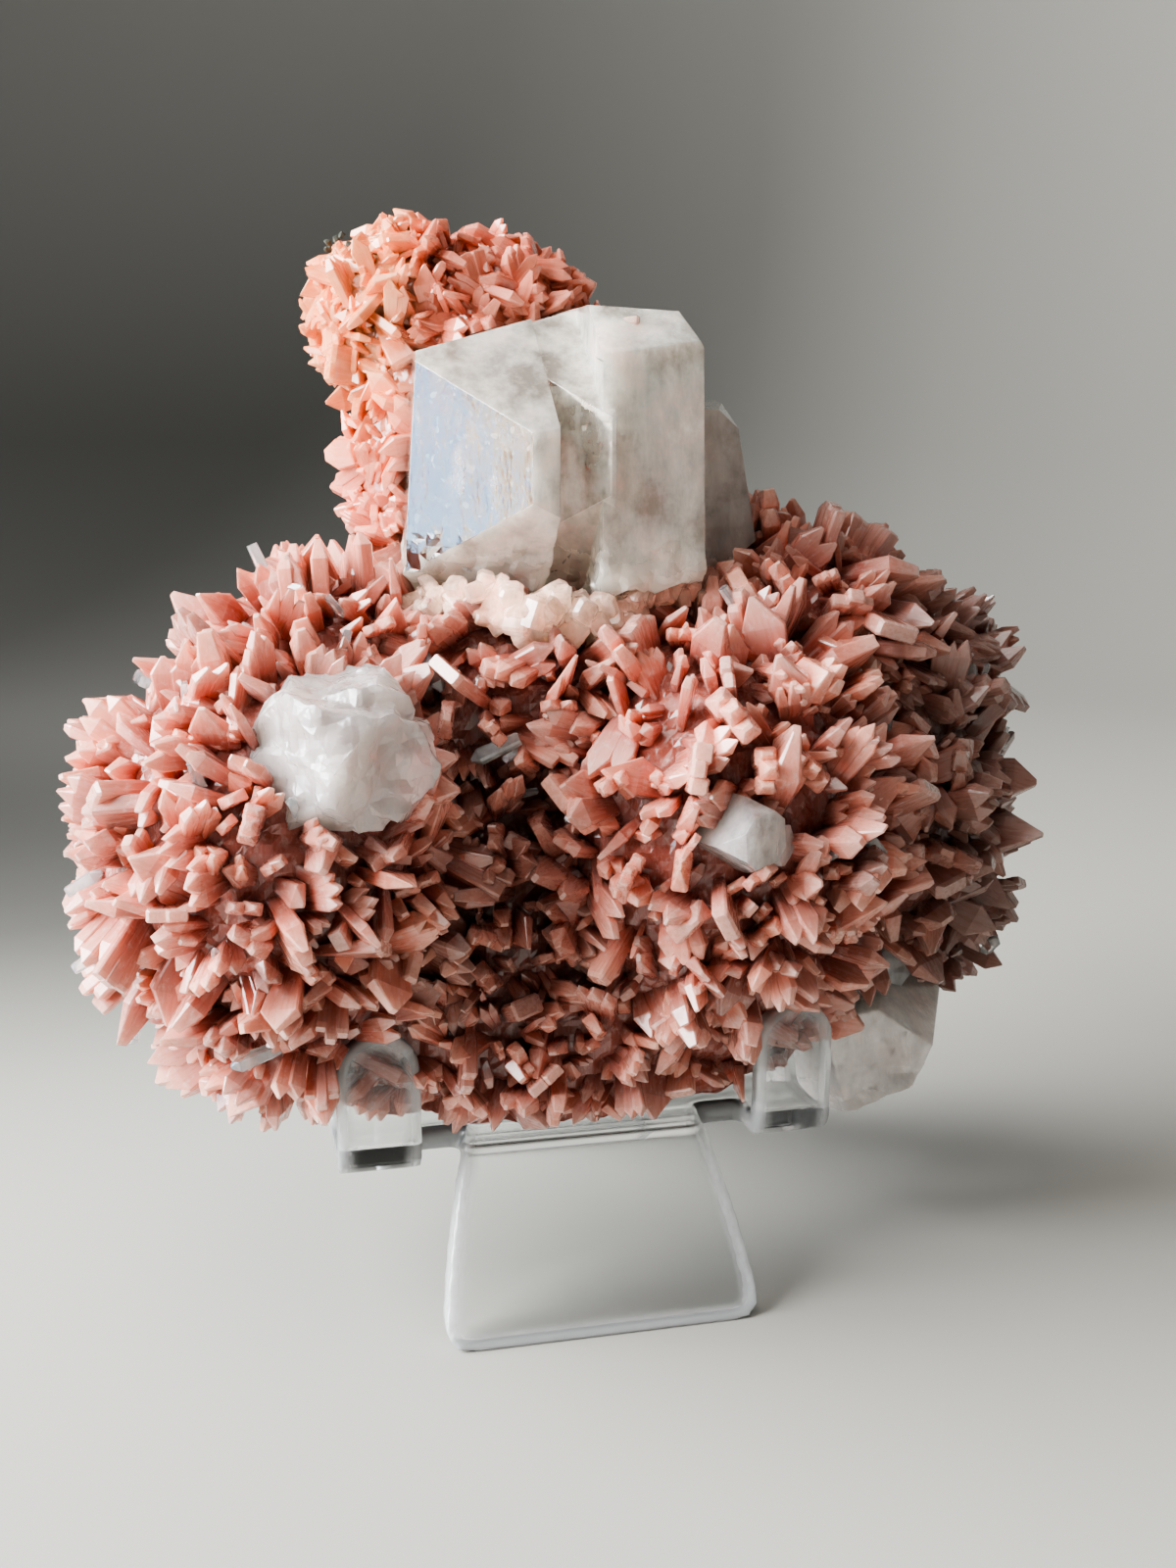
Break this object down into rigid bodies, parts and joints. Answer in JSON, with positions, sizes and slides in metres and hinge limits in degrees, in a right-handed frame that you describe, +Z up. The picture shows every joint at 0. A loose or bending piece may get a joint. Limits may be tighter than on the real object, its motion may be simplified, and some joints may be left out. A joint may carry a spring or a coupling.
{
  "type": "apophyllite cluster",
  "caption": "Mineral cluster: clear blocky crystals on a pink bladed druse over a dark rock plate, resting in a clear bent-sheet display stand.",
  "frame": {"origin": "on the table, under the middle of the whole object", "axes": "+Z up, front toward -Y, +X to the right seen from the front"},
  "size_m": [0.1316, 0.0774, 0.1364],
  "materials": {
    "stilbite": "salmon pink translucent blades, vitreous to pearly",
    "basalt": "rough broken greenish-black rock",
    "clear_apophyllite": "colourless, vitreous, faint veils inside",
    "tinted_apophyllite": "pinkish brown, translucent",
    "smoky_apophyllite": "smoky, translucent",
    "clear_sheet": "clear polished acrylic with flame-polished edges"
  },
  "bodies": {
    "root": {"stilbite_druse": "stilbite", "basalt_matrix": "basalt", "apophyllite_main": "clear_apophyllite", "apophyllite_back": "tinted_apophyllite", "apophyllite_left": "clear_apophyllite", "apophyllite_small": "clear_apophyllite", "apophyllite_lower_right": "clear_apophyllite", "apophyllite_dome": "smoky_apophyllite", "display_stand": "clear_sheet"}
  },
  "joints": []
}
